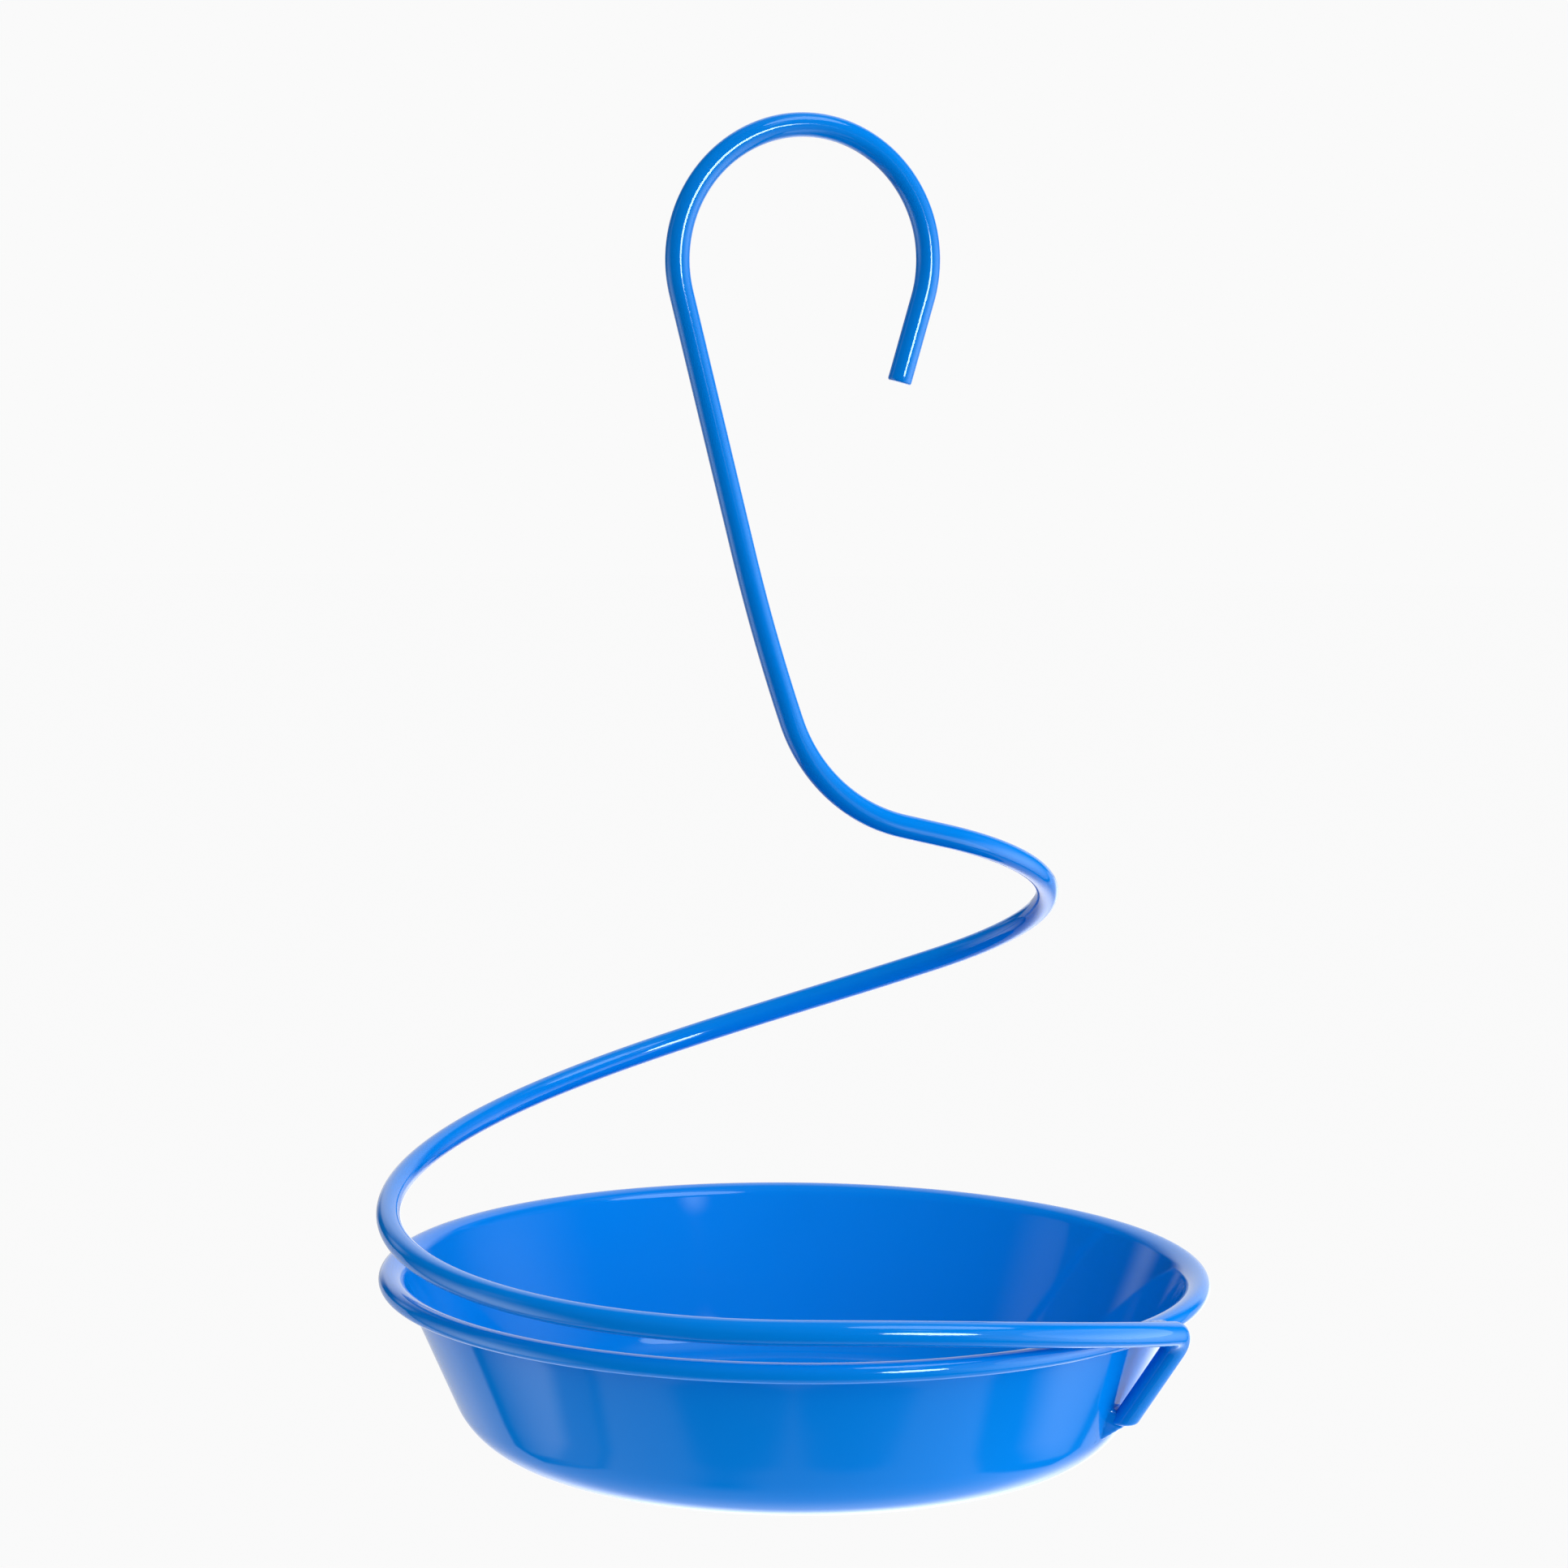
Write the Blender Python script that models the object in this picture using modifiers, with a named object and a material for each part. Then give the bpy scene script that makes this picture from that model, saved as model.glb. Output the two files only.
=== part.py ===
"""Hanging mealworm feeder: a pressed steel bowl welded to a hanger bent from one steel rod.

Lengths are in metres and angles in degrees. +Z is up, and the origin is the centre of the bowl's
flat base. Plan angles run from +X towards +Y, and the front of the feeder faces -Y.
"""
import math

import bmesh
import bpy
from mathutils import Matrix, Vector

# Bowl
RIM_DIAMETER = 0.165
BOWL_HEIGHT = 0.0355
WALL_TAPER = 24.0
BASE_CORNER_RADIUS = 0.015
FLARE_RADIUS = 0.0037
CURL_DIAMETER = 0.0039
CURL_SWEEP = 235.0
SHEET = 0.0008

# Hook and shank, bent in one upright plane
ROD_DIAMETER = 0.00476
OVERALL_HEIGHT = 0.2625
HOOK_RADIUS = 0.026
HOOK_TURN = 20.7
TAIL_LENGTH = 0.0171
TAIL_ANGLE = 16.2
SHANK_LEAN = 14.7
SHANK_LENGTH = 0.0516
SWEEP_RADIUS = 0.4
SWEEP_ANGLE = 5.0
LOWER_BEND_RADIUS = 0.0341
ARM_FALL = 13.7
ARM_LENGTH = 0.0094

# One falling turn round the bowl, which ends as a perch above the front of the rim
TURN_FALL = 0.0344
COIL_EASE = 2.4
PERCH_ANGLE = 270.0
PERCH_GAP = 0.00315

# End of the rod: over the rim, round a corner and down to the wall
STEP_OUT_ANGLE = 280.0
SEAT_ANGLE = 326.4
CORNER_RADIUS = 0.0055
FOOT_DEPTH = 0.0205
FOOT_LEAD = 2.1

# Welds
SEAT_GAP = 0.0003
RIM_WELD_LAG = 2.5
RIM_WELD_LENGTH = 0.0115
RIM_WELD_WIDTH = 0.0042
FOOT_WELD_LENGTH = 0.0125
FOOT_WELD_WIDTH = 0.0105
FOOT_WELD_HEIGHT = 0.0062

# Facets
BOWL_STEPS = 64
ARC_STEP = 9.0
COIL_STEP = 6.0
SEAT_STEP = 4.0
CURL_STEP = 24.0
ROD_BEVEL_RESOLUTION = 4
WELD_SEGMENTS = 28
WELD_RINGS = 16
MERGE_DISTANCE = 0.00001

# Gloss blue powder coat
COAT_COLOUR = (0.0, 0.16, 0.60, 1.0)
COAT_ROUGHNESS = 0.15

# Sizes that follow from the driving dimensions
ROD_RADIUS = ROD_DIAMETER / 2
CURL_RADIUS = CURL_DIAMETER / 2
RIM_RADIUS = RIM_DIAMETER / 2
CURL_CENTRE_RADIUS = RIM_RADIUS - CURL_RADIUS
CURL_CENTRE_HEIGHT = BOWL_HEIGHT - CURL_RADIUS


def on_circle(radius, angle):
    """Return the horizontal and vertical offset of a point on a circle."""
    turn = math.radians(angle)
    return radius * math.cos(turn), radius * math.sin(turn)


def arc_steps(angle, step):
    """Return how many straight pieces stand for an arc."""
    return max(2, math.ceil(abs(angle) / step))


def smooth_step(share):
    """Return a share from 0 to 1 that starts and ends level."""
    share = min(max(share, 0.0), 1.0)
    return share * share * (3.0 - 2.0 * share)


class PlaneWalk:
    """A path in one plane, made of straight runs and left-hand bends."""

    def __init__(self, across, up, heading):
        self.points = [(across, up)]
        self.heading = heading

    def forward(self, length):
        """Run straight on."""
        across, up = self.points[-1]
        step = on_circle(length, self.heading)
        self.points.append((across + step[0], up + step[1]))

    def bend(self, radius, angle, step):
        """Turn left along an arc."""
        across, up = self.points[-1]
        to_start = on_circle(radius, self.heading - 90.0)
        centre = (across - to_start[0], up - to_start[1])
        count = arc_steps(angle, step)
        for index in range(1, count + 1):
            spoke = on_circle(radius, self.heading - 90.0 + angle * index / count)
            self.points.append((centre[0] + spoke[0], centre[1] + spoke[1]))
        self.heading += angle


def wall_face_radius(height):
    """Return the radius of the wall's inner face at a height."""
    lean = math.radians(WALL_TAPER)
    top_radius = CURL_CENTRE_RADIUS - FLARE_RADIUS * math.cos(lean)
    top_height = BOWL_HEIGHT - FLARE_RADIUS * (1.0 - math.sin(lean))
    return top_radius - (top_height - height) * math.tan(lean)


def bowl_inner_profile():
    """Return the bowl's inner face from the axis, up the wall and round the curl."""
    lean = math.radians(WALL_TAPER)
    corner_height = SHEET + BASE_CORNER_RADIUS
    corner_axis = wall_face_radius(corner_height) - BASE_CORNER_RADIUS / math.cos(lean)
    walk = PlaneWalk(0.0, SHEET, 0.0)
    walk.forward(corner_axis)
    walk.bend(BASE_CORNER_RADIUS, 90.0 - WALL_TAPER, ARC_STEP)
    flare_start = BOWL_HEIGHT - FLARE_RADIUS * (1.0 - math.sin(lean))
    walk.forward((flare_start - walk.points[-1][1]) / math.cos(lean))
    points = list(walk.points)
    flare_turn = 90.0 - WALL_TAPER
    flare_height = BOWL_HEIGHT - FLARE_RADIUS
    count = arc_steps(flare_turn, CURL_STEP)
    for index in range(1, count + 1):
        spoke = on_circle(FLARE_RADIUS, 90.0 + flare_turn * (1.0 - index / count))
        points.append((CURL_CENTRE_RADIUS + spoke[0], flare_height + spoke[1]))
    count = arc_steps(CURL_SWEEP, CURL_STEP)
    for index in range(1, count + 1):
        spoke = on_circle(CURL_RADIUS, 90.0 - CURL_SWEEP * index / count)
        points.append((CURL_CENTRE_RADIUS + spoke[0], CURL_CENTRE_HEIGHT + spoke[1]))
    return points


def bowl_clearance_profile(gap):
    """Return the bowl's outside, grown by a gap, from the axis above the rim down to the base."""
    lean = math.radians(WALL_TAPER)
    rim = CURL_RADIUS + gap
    points = [(0.0, CURL_CENTRE_HEIGHT + rim)]
    count = arc_steps(180.0, CURL_STEP)
    for index in range(count + 1):
        spoke = on_circle(rim, 90.0 - 180.0 * index / count)
        points.append((CURL_CENTRE_RADIUS + spoke[0], CURL_CENTRE_HEIGHT + spoke[1]))
    offset = (SHEET + gap) / math.cos(lean)
    for height in (CURL_CENTRE_HEIGHT - rim, -gap):
        points.append((wall_face_radius(height) + offset, height))
    points.append((0.0, -gap))
    return points


def hook_plane_walk():
    """Return the walk from the cut tail over the hook and down to the end of the arm."""
    hook_height = OVERALL_HEIGHT - ROD_RADIUS - HOOK_RADIUS
    hook_start = on_circle(HOOK_RADIUS, -TAIL_ANGLE)
    tail_heading = 90.0 - TAIL_ANGLE
    tail = on_circle(TAIL_LENGTH, tail_heading)
    walk = PlaneWalk(hook_start[0] - tail[0], hook_height + hook_start[1] - tail[1], tail_heading)
    walk.forward(TAIL_LENGTH)
    walk.bend(HOOK_RADIUS, 180.0 + TAIL_ANGLE + SHANK_LEAN, ARC_STEP)
    walk.forward(SHANK_LENGTH)
    walk.bend(SWEEP_RADIUS, SWEEP_ANGLE, ARC_STEP)
    walk.bend(LOWER_BEND_RADIUS, 360.0 - ARM_FALL - walk.heading, ARC_STEP)
    walk.forward(ARM_LENGTH)
    return walk


def turn_and_coil(arm_end, arm_height):
    """Return the turn from the arm onto the coil, then the coil down to the perch."""
    ring_radius = CURL_CENTRE_RADIUS
    perch_height = BOWL_HEIGHT + PERCH_GAP + ROD_RADIUS
    turn_radius = (ring_radius ** 2 - arm_end ** 2) / (2.0 * ring_radius)
    centre_radius = ring_radius - turn_radius
    turn_end = HOOK_TURN + math.degrees(math.asin(turn_radius / centre_radius))
    coil_height = arm_height - TURN_FALL
    coil_length = ring_radius * math.radians(PERCH_ANGLE - turn_end)
    coil_slope = -COIL_EASE * (coil_height - perch_height) / coil_length
    arm_slope = -math.tan(math.radians(ARM_FALL))
    turn_angle = turn_end - HOOK_TURN + 90.0
    turn_length = turn_radius * math.radians(turn_angle)
    centre = on_circle(centre_radius, turn_end)
    points = []
    count = arc_steps(turn_angle, ARC_STEP)
    for index in range(1, count + 1):
        share = index / count
        spoke = on_circle(turn_radius, HOOK_TURN - 90.0 + turn_angle * share)
        blend = smooth_step(share)
        height = arm_height * (1.0 - blend) + coil_height * blend
        height += turn_length * arm_slope * share * (1.0 - share) ** 2
        height -= turn_length * coil_slope * share ** 2 * (1.0 - share)
        points.append(Vector((centre[0] + spoke[0], centre[1] + spoke[1], height)))
    count = arc_steps(PERCH_ANGLE - turn_end, COIL_STEP)
    for index in range(1, count + 1):
        share = index / count
        across, back = on_circle(ring_radius, turn_end + (PERCH_ANGLE - turn_end) * share)
        height = perch_height + (coil_height - perch_height) * (1.0 - share) ** COIL_EASE
        points.append(Vector((across, back, height)))
    return points


def seat_points():
    """Return the rod from the perch, over the rim and out to its seat beside the curl."""
    perch_height = BOWL_HEIGHT + PERCH_GAP + ROD_RADIUS
    fall = perch_height - CURL_CENTRE_HEIGHT
    step_out = RIM_RADIUS + SEAT_GAP + ROD_RADIUS - CURL_CENTRE_RADIUS
    sweep = SEAT_ANGLE - PERCH_ANGLE
    points = []
    count = arc_steps(sweep, SEAT_STEP)
    for index in range(1, count + 1):
        share = index / count
        angle = PERCH_ANGLE + sweep * share
        out = smooth_step((angle - STEP_OUT_ANGLE) / (SEAT_ANGLE - STEP_OUT_ANGLE))
        across, back = on_circle(CURL_CENTRE_RADIUS + step_out * out, angle)
        points.append(Vector((across, back, perch_height - fall * share ** 2)))
    return points


def foot_end(corner):
    """Return where the rod's axis ends beside the wall, below a corner."""
    plan_angle = math.degrees(math.atan2(corner.y, corner.x)) + FOOT_LEAD
    height = CURL_CENTRE_HEIGHT - FOOT_DEPTH
    offset = (SHEET + SEAT_GAP + ROD_RADIUS) / math.cos(math.radians(WALL_TAPER))
    across, back = on_circle(wall_face_radius(height) + offset, plan_angle)
    return Vector((across, back, height))


def rounded_corner(before, corner, after, radius):
    """Return an arc that replaces a corner between two straight runs."""
    to_before = (before - corner).normalized()
    to_after = (after - corner).normalized()
    half = to_before.angle(to_after) / 2.0
    centre = corner + (to_before + to_after).normalized() * (radius / math.sin(half))
    setback = radius / math.tan(half)
    first = corner + to_before * setback - centre
    last = corner + to_after * setback - centre
    count = arc_steps(math.degrees(first.angle(last)), ARC_STEP)
    spokes = [first.slerp(last, index / count).normalized() for index in range(count + 1)]
    return [centre + spoke * radius for spoke in spokes]


def rod_path():
    """Return the whole rod's centreline, from the hook's cut tail to the foot on the wall."""
    walk = hook_plane_walk()
    path = []
    for across, up in walk.points:
        plan = on_circle(across, HOOK_TURN)
        path.append(Vector((plan[0], plan[1], up)))
    path += turn_and_coil(*walk.points[-1])
    path += seat_points()
    run_on = (path[-1] - path[-2]).normalized()
    corner = path[-1] + run_on * CORNER_RADIUS
    foot = foot_end(corner)
    path += rounded_corner(path[-1], corner, foot, CORNER_RADIUS)
    path.append(foot)
    return path


def clear_scene():
    """Remove every object that the scene starts with."""
    for item in list(bpy.data.objects):
        bpy.data.objects.remove(item, do_unlink=True)


def new_collection(name):
    """Return a new collection, linked to the scene."""
    collection = bpy.data.collections.new(name)
    bpy.context.scene.collection.children.link(collection)
    return collection


def coat_material(name):
    """Return a gloss powder-coat material."""
    material = bpy.data.materials.new(name)
    material.use_nodes = True
    shader = material.node_tree.nodes["Principled BSDF"]
    shader.inputs["Base Color"].default_value = COAT_COLOUR
    shader.inputs["Roughness"].default_value = COAT_ROUGHNESS
    shader.inputs["Metallic"].default_value = 0.0
    return material


def add_object(name, data, collection):
    """Link an object to a collection and return it."""
    item = bpy.data.objects.new(name, data)
    collection.objects.link(item)
    return item


def turned_object(name, profile, collection):
    """Return an object that turns a profile about the Z axis."""
    mesh = bpy.data.meshes.new(name)
    edges = [(index, index + 1) for index in range(len(profile) - 1)]
    mesh.from_pydata([(radius, 0.0, height) for radius, height in profile], edges, [])
    item = add_object(name, mesh, collection)
    screw = item.modifiers.new("turn", "SCREW")
    screw.axis = "Z"
    screw.steps = BOWL_STEPS
    screw.render_steps = BOWL_STEPS
    screw.use_merge_vertices = True
    screw.merge_threshold = MERGE_DISTANCE
    screw.use_smooth_shade = True
    return item


def rod_object(name, path, radius, collection):
    """Return a round rod along a path, with filled ends."""
    curve = bpy.data.curves.new(name, "CURVE")
    curve.dimensions = "3D"
    curve.bevel_depth = radius
    curve.bevel_resolution = ROD_BEVEL_RESOLUTION
    curve.use_fill_caps = True
    spline = curve.splines.new("POLY")
    spline.points.add(len(path) - 1)
    for point, place in zip(spline.points, path):
        point.co = (place.x, place.y, place.z, 1.0)
    spline.use_smooth = True
    return add_object(name, curve, collection)


def mesh_from(item, name, collection):
    """Replace a curve object by a closed mesh object and return it."""
    bpy.context.view_layer.update()
    graph = bpy.context.evaluated_depsgraph_get()
    mesh = bpy.data.meshes.new_from_object(item.evaluated_get(graph))
    work = bmesh.new()
    work.from_mesh(mesh)
    bmesh.ops.remove_doubles(work, verts=work.verts, dist=MERGE_DISTANCE)
    work.to_mesh(mesh)
    work.free()
    result = add_object(name, mesh, collection)
    result.matrix_world = item.matrix_world
    bpy.data.objects.remove(item, do_unlink=True)
    return result


def as_cutter(item):
    """Mark an object as a cutter and return it."""
    item.hide_render = True
    item.display_type = "WIRE"
    return item


def weld_bead(name, centre, axes, sizes, cutters, collection):
    """Return an oval bead of weld metal, cut back to a gap from the pieces that it joins."""
    frame = Matrix(axes).transposed().to_4x4()
    scale = Matrix.Diagonal([size / 2.0 for size in sizes]).to_4x4()
    place = Matrix.Translation(centre) @ frame @ scale
    work = bmesh.new()
    bmesh.ops.create_uvsphere(
        work, u_segments=WELD_SEGMENTS, v_segments=WELD_RINGS, radius=1.0, matrix=place
    )
    bmesh.ops.recalc_face_normals(work, faces=work.faces)
    mesh = bpy.data.meshes.new(name)
    work.to_mesh(mesh)
    work.free()
    mesh.shade_smooth()
    item = add_object(name, mesh, collection)
    for cutter in cutters:
        cut = item.modifiers.new("cut by " + cutter.name, "BOOLEAN")
        cut.operation = "DIFFERENCE"
        cut.object = cutter
    return item


def make_bowl(collection):
    """Make the pressed bowl with its curled rim."""
    bowl = turned_object("bowl", bowl_inner_profile(), collection)
    wall = bowl.modifiers.new("sheet", "SOLIDIFY")
    wall.thickness = SHEET
    wall.offset = -1.0
    wall.use_even_offset = True
    return bowl


def make_welds(path, parts, cutters):
    """Make the weld at the rim and the weld at the foot of the rod."""
    rod_room = rod_object("rod_room_curve", path, ROD_RADIUS + SEAT_GAP, cutters)
    rod_room = as_cutter(mesh_from(rod_room, "rod_room", cutters))
    bowl_room = as_cutter(turned_object("bowl_room", bowl_clearance_profile(SEAT_GAP), cutters))
    room = [rod_room, bowl_room]
    up = Vector((0.0, 0.0, 1.0))

    weld_angle = SEAT_ANGLE - RIM_WELD_LAG
    outward = Vector((*on_circle(1.0, weld_angle), 0.0))
    groove = outward * (RIM_RADIUS + SEAT_GAP / 2.0)
    groove += up * (CURL_CENTRE_HEIGHT + CURL_RADIUS)
    axes = (up.cross(outward), outward, up)
    sizes = (RIM_WELD_LENGTH, RIM_WELD_WIDTH, RIM_WELD_WIDTH)
    rim_weld = weld_bead("rim_weld", groove, axes, sizes, room, parts)

    foot = path[-1]
    outward = Vector((foot.x, foot.y, 0.0)).normalized()
    lean = math.radians(WALL_TAPER)
    off_wall = outward * math.cos(lean) - up * math.sin(lean)
    along = off_wall.cross(up.cross(outward))
    seat = foot - off_wall * (ROD_RADIUS + SEAT_GAP)
    axes = (along, up.cross(outward), off_wall)
    sizes = (FOOT_WELD_LENGTH, FOOT_WELD_WIDTH, FOOT_WELD_HEIGHT)
    foot_weld = weld_bead("foot_weld", seat, axes, sizes, room, parts)
    return [rim_weld, foot_weld]


def main():
    """Build the feeder."""
    clear_scene()
    parts = new_collection("mealworm_feeder")
    cutters = new_collection("cutters")
    path = rod_path()
    pieces = [make_bowl(parts), rod_object("hanger_rod", path, ROD_RADIUS, parts)]
    pieces += make_welds(path, parts, cutters)
    for piece in pieces:
        piece.data.materials.append(coat_material(piece.name + "_powder_coat"))


main()
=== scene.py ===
"""Hanging mealworm feeder in gloss blue powder coat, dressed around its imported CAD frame.

The feeder is shown as it hangs, in a white studio. Lengths are in metres unless a name ends in mm,
and angles in degrees. The frame is the CAD model's: +Z is up, the origin is the centre of the
underside of the bowl's base and the front of the feeder faces -Y. Plan angles run from +X to +Y.
"""

import logging
import math
from dataclasses import dataclass, field
from enum import Enum
from typing import Any, Optional

import bpy
from mathutils import Matrix, Vector

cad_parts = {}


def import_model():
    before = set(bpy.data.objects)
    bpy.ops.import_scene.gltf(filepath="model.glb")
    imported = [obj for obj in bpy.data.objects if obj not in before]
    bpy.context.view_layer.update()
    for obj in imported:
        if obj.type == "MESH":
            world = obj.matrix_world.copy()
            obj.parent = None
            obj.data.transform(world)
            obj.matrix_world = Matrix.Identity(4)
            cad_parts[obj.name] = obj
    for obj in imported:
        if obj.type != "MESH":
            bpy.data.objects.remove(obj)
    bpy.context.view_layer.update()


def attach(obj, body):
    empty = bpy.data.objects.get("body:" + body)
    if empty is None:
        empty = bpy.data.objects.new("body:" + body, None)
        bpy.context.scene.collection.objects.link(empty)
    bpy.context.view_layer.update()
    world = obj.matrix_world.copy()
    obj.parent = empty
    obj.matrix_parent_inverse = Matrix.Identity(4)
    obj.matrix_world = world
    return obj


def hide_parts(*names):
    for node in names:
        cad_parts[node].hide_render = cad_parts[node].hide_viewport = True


LOG = logging.getLogger("mealworm_feeder")

MM = 0.001
UP = Vector((0.0, 0.0, 1.0))
SMOOTH_ANGLE = math.radians(45.0)
BODY = "root"


def linear_colour(code: str) -> tuple[float, float, float, float]:
    """Turn an sRGB hex code into linear colour.

    Args:
        code: Six hex digits, with or without a leading hash.

    Returns:
        Linear red, green and blue, and full alpha.
    """
    digits = code.lstrip("#")
    channels = []
    for start in (0, 2, 4):
        value = int(digits[start:start + 2], 16) / 255.0
        channels.append(value / 12.92 if value <= 0.04045 else ((value + 0.055) / 1.055) ** 2.4)
    return (channels[0], channels[1], channels[2], 1.0)


def add_node(
    tree: bpy.types.NodeTree,
    kind: str,
    settings: Optional[dict[str, Any]] = None,
    inputs: Optional[dict[Any, Any]] = None,
) -> bpy.types.Node:
    """Add a node with its settings, and set or link its inputs.

    Args:
        tree: Node tree that gets the node.
        kind: Blender's name for the kind of node.
        settings: Properties of the node itself.
        inputs: Values or output sockets, by the name or index of the input.

    Returns:
        The new node.
    """
    node = tree.nodes.new(kind)
    for name, value in (settings or {}).items():
        setattr(node, name, value)
    for key, value in (inputs or {}).items():
        if isinstance(value, bpy.types.NodeSocket):
            tree.links.new(value, node.inputs[key])
        else:
            node.inputs[key].default_value = value
    return node


def deselect_all() -> None:
    """Leave nothing selected."""
    for item in bpy.context.selected_objects:
        item.select_set(False)


def polar(radius: float, angle: float) -> tuple[float, float]:
    """Return the two offsets of a point on a circle, for an angle in degrees."""
    turn = math.radians(angle)
    return radius * math.cos(turn), radius * math.sin(turn)


def smooth_step(share: float) -> float:
    """Return a share from 0 to 1 that starts and ends level."""
    share = min(max(share, 0.0), 1.0)
    return share * share * (3.0 - 2.0 * share)


def name_piece(piece: bpy.types.Object, name: str) -> None:
    """Name an object and its mesh."""
    piece.name = name
    piece.data.name = name


def edit_whole_mesh() -> None:
    """Put the active object in edit mode with its whole mesh selected."""
    bpy.ops.object.mode_set(mode="EDIT")
    bpy.ops.mesh.select_all(action="SELECT")


def apply_modifiers(piece: bpy.types.Object) -> None:
    """Apply every modifier of an object, in order.

    Args:
        piece: The object.
    """
    bpy.context.view_layer.objects.active = piece
    for name in [modifier.name for modifier in piece.modifiers]:
        bpy.ops.object.modifier_apply(modifier=name)


@dataclass(frozen=True)
class PowderCoat:
    """Polyester powder coat, sprayed dry and baked on steel.

    It flows out to a gloss skin with a faint orange peel, so reflections stay sharp but waver a little.
    The pigment is even. Where a coat has specks, pale specks are painted into its colour as painted
    highlights that stand in for glints off rough weld metal.
    """

    name: str
    colour: str = "#0082E6"
    deep_colour: str = "#007CDF"
    # Colour of the pale specks, painted highlights that stand in for glints; the coat's own colour where a
    # coat has no specks.
    painted_glint_colour: str = "#0082E6"
    sheen: str = "#DCF8FF"
    roughness: float = 0.065
    ior: float = 1.5
    peel_mm: float = 2.2
    peel_depth_mm: float = 0.0015
    cloud_mm: float = 45.0
    film_mm: float = 9.0
    film_spread: float = 0.15
    speck_mm: float = 0.0

    def material(self) -> bpy.types.Material:
        """Build the material.

        Returns:
            The finished material.
        """
        material = bpy.data.materials.new(self.name)
        material.use_nodes = True
        tree = material.node_tree
        shader = tree.nodes["Principled BSDF"]
        shader.inputs["Metallic"].default_value = 0.0
        shader.inputs["IOR"].default_value = self.ior
        shader.inputs["Specular Tint"].default_value = linear_colour(self.sheen)
        place = add_node(tree, "ShaderNodeTexCoord").outputs["Object"]
        noise = {}
        sizes = {"cloud": self.cloud_mm, "speck": self.speck_mm, "film": self.film_mm, "peel": self.peel_mm}
        details = {"cloud": 2.0, "speck": 3.0, "film": 2.0, "peel": 1.0}
        for name, size in sizes.items():
            if size > 0.0:
                inputs = {"Vector": place, "Scale": 1.0 / (size * MM), "Detail": details[name]}
                noise[name] = add_node(tree, "ShaderNodeTexNoise", inputs=inputs).outputs["Fac"]
        tint = add_node(
            tree,
            "ShaderNodeMix",
            {"data_type": "RGBA"},
            {0: noise["cloud"], 6: linear_colour(self.colour), 7: linear_colour(self.deep_colour)},
        ).outputs[2]
        # Pale specks painted into the base colour: painted highlights that stand in for glints off rough
        # weld metal.
        if "speck" in noise:
            inputs = {"Value": noise["speck"], "From Min": 0.52, "From Max": 0.66}
            painted_glint = add_node(tree, "ShaderNodeMapRange", inputs=inputs).outputs[0]
            inputs = {0: painted_glint, 6: tint, 7: linear_colour(self.painted_glint_colour)}
            tint = add_node(tree, "ShaderNodeMix", {"data_type": "RGBA"}, inputs).outputs[2]
        tree.links.new(tint, shader.inputs["Base Color"])
        inputs = {
            "Value": noise["film"],
            "From Min": 0.3,
            "From Max": 0.7,
            "To Min": self.roughness * (1.0 - self.film_spread),
            "To Max": self.roughness * (1.0 + self.film_spread),
        }
        gloss = add_node(tree, "ShaderNodeMapRange", inputs=inputs)
        tree.links.new(gloss.outputs[0], shader.inputs["Roughness"])
        inputs = {"Height": noise["peel"], "Distance": self.peel_depth_mm * MM, "Strength": 1.0}
        bump = add_node(tree, "ShaderNodeBump", inputs=inputs)
        tree.links.new(bump.outputs["Normal"], shader.inputs["Normal"])
        return material

    def cover(self, piece: bpy.types.Object) -> None:
        """Give a piece this finish all over."""
        piece.data.materials.clear()
        piece.data.materials.append(self.material())


# Pressed sheet: a clear gloss in which wide reflections waver a little.
SHEET_COAT = PowderCoat("gloss_powder_coat_on_pressed_steel")
# Drawn rod: the coat flows smoother round it, so its long highlights run straight.
ROD_COAT = PowderCoat("gloss_powder_coat_on_drawn_steel_rod", peel_mm=1.8, peel_depth_mm=0.0005)
# Rough weld metal: a duller, pebbled coat, with pale specks painted into its colour as painted highlights
# that stand in for glints off the rough bead.
WELD_COAT = PowderCoat(
    "powder_coat_over_weld_bead",
    painted_glint_colour="#6FB0EE",
    roughness=0.11,
    peel_mm=0.8,
    peel_depth_mm=0.005,
    speck_mm=0.7,
)
# Smooth weld metal: the same gloss as the sheet, a little more uneven.
FILLET_COAT = PowderCoat("powder_coat_over_weld_fillet", peel_mm=1.2, peel_depth_mm=0.003)


@dataclass
class PlaneWalk:
    """A path in one plane, made of straight runs and bends."""

    across: float
    up: float
    heading: float
    points: list[tuple[float, float]] = field(default_factory=list)

    def __post_init__(self) -> None:
        """Start the path."""
        self.points.append((self.across, self.up))

    def forward(self, length: float, count: int) -> None:
        """Run straight on.

        Args:
            length: Length of the run.
            count: Number of equal steps.
        """
        step = polar(length / count, self.heading)
        for _ in range(count):
            across, up = self.points[-1]
            self.points.append((across + step[0], up + step[1]))

    def bend(self, radius: float, angle: float, count: int) -> None:
        """Turn along an arc.

        Args:
            radius: Radius of the arc.
            angle: How far to turn left, in degrees, or right where it is negative.
            count: Number of equal steps.
        """
        side = 90.0 if angle < 0.0 else -90.0
        across, up = self.points[-1]
        spoke = polar(radius, self.heading + side)
        centre = (across - spoke[0], up - spoke[1])
        for index in range(1, count + 1):
            spoke = polar(radius, self.heading + side + angle * index / count)
            self.points.append((centre[0] + spoke[0], centre[1] + spoke[1]))
        self.heading += angle


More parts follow.
